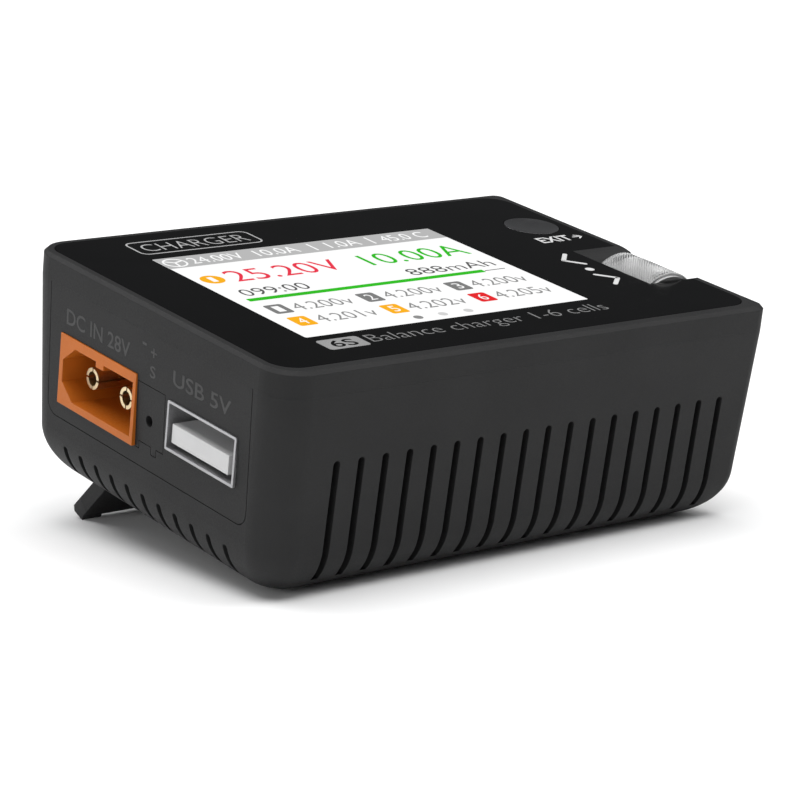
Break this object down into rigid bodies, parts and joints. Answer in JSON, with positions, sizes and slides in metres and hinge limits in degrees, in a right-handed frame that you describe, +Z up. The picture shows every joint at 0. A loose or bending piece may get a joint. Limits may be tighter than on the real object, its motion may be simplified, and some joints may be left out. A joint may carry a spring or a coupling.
{
  "type": "balance battery charger",
  "caption": "Pocket balance battery charger: vented case, colour screen, EXIT button, roller, power, USB and balance sockets, fold-out rear stand.",
  "frame": {"origin": "centre of the bounding box on the surface that the charger stands on, stand open", "axes": "+X along the case to the output end, +Y to the back, +Z up; the case leans back to front by 8.57 degrees"},
  "size_m": [0.0712, 0.0526, 0.0339],
  "materials": {
    "case_plastic": "fine moulded texture, matte",
    "panel_gloss": "gloss",
    "screen": "smooth, lit from behind",
    "port_orange": "satin nylon",
    "port_white": "satin nylon",
    "port_grey": "satin",
    "gilt": "plated, smooth",
    "steel": "stamped and plated",
    "roller_metal": "knurled, bead blasted",
    "rubber": "soft matte",
    "board": "solder mask over glass laminate",
    "chip": "moulded epoxy",
    "copper": "enamelled wire",
    "ferrite": "sintered",
    "flex_film": "polyimide film",
    "heatsink_metal": "milled",
    "pad_silicone": "soft matte"
  },
  "bodies": {
    "casing": {"lower_shell": "case_plastic", "top_cover": "case_plastic", "front_panel": "panel_gloss", "display_screen": "screen", "lcd_module": "port_white", "backlight_tray": "steel", "display_flex": "flex_film", "exit_switch": "chip", "press_switch": "chip", "left_end_panel": "case_plastic", "right_end_panel": "case_plastic", "signal_port": "case_plastic", "inlet_housing": "port_orange", "inlet_pins": "gilt", "outlet_housing": "port_orange", "outlet_sockets": "gilt", "usb_shell": "steel", "usb_tongue": "port_grey", "usb_contacts": "gilt", "balance_socket": "port_white", "balance_pins": "gilt", "main_board": "board", "board_screws": "steel", "ui_board": "board", "ui_screws": "steel", "board_header": "chip", "inductor_cores": "ferrite", "inductor_windings": "copper", "capacitors": "heatsink_metal", "controller_chips": "chip", "buzzer": "chip", "mosfets": "chip", "thermal_pad": "pad_silicone", "heatsink": "heatsink_metal", "fan_frame": "chip", "fan_screws": "steel", "rubber_feet": "rubber"},
    "stand": {"stand": "case_plastic", "stand_pins": "steel", "stand_pads": "rubber"},
    "exit_button": {"exit_button": "panel_gloss"},
    "roller_carrier": {"roller_carrier": "chip", "roller_encoder": "chip"},
    "roller": {"roller": "roller_metal", "roller_axle": "steel"},
    "fan_rotor": {"fan_rotor": "chip"}
  },
  "joints": [
    {"name": "stand_hinge", "type": "hinge", "parent": "casing", "child": "stand", "pos_m": [0, 0.01806, 0.00628], "axis": [1, 0, 0], "range_deg": [-132, 0]},
    {"name": "exit_press", "type": "slide", "parent": "casing", "child": "exit_button", "axis": [0, 0.1491, -0.9888], "range_m": [0, 0.0003], "stiffness_N_per_m": 3000},
    {"name": "roller_press", "type": "slide", "parent": "casing", "child": "roller_carrier", "axis": [0, 0.1491, -0.9888], "range_m": [0, 0.0003], "stiffness_N_per_m": 4000},
    {"name": "roller_spin", "type": "hinge", "parent": "roller_carrier", "child": "roller", "pos_m": [0.03058, -0.00852, 0.02497], "axis": [0, 0.9888, 0.1491], "continuous": true},
    {"name": "fan_spin", "type": "hinge", "parent": "casing", "child": "fan_rotor", "pos_m": [-0.00017, -0.00486, 0.00737], "axis": [0, -0.1491, 0.9888], "continuous": true}
  ]
}
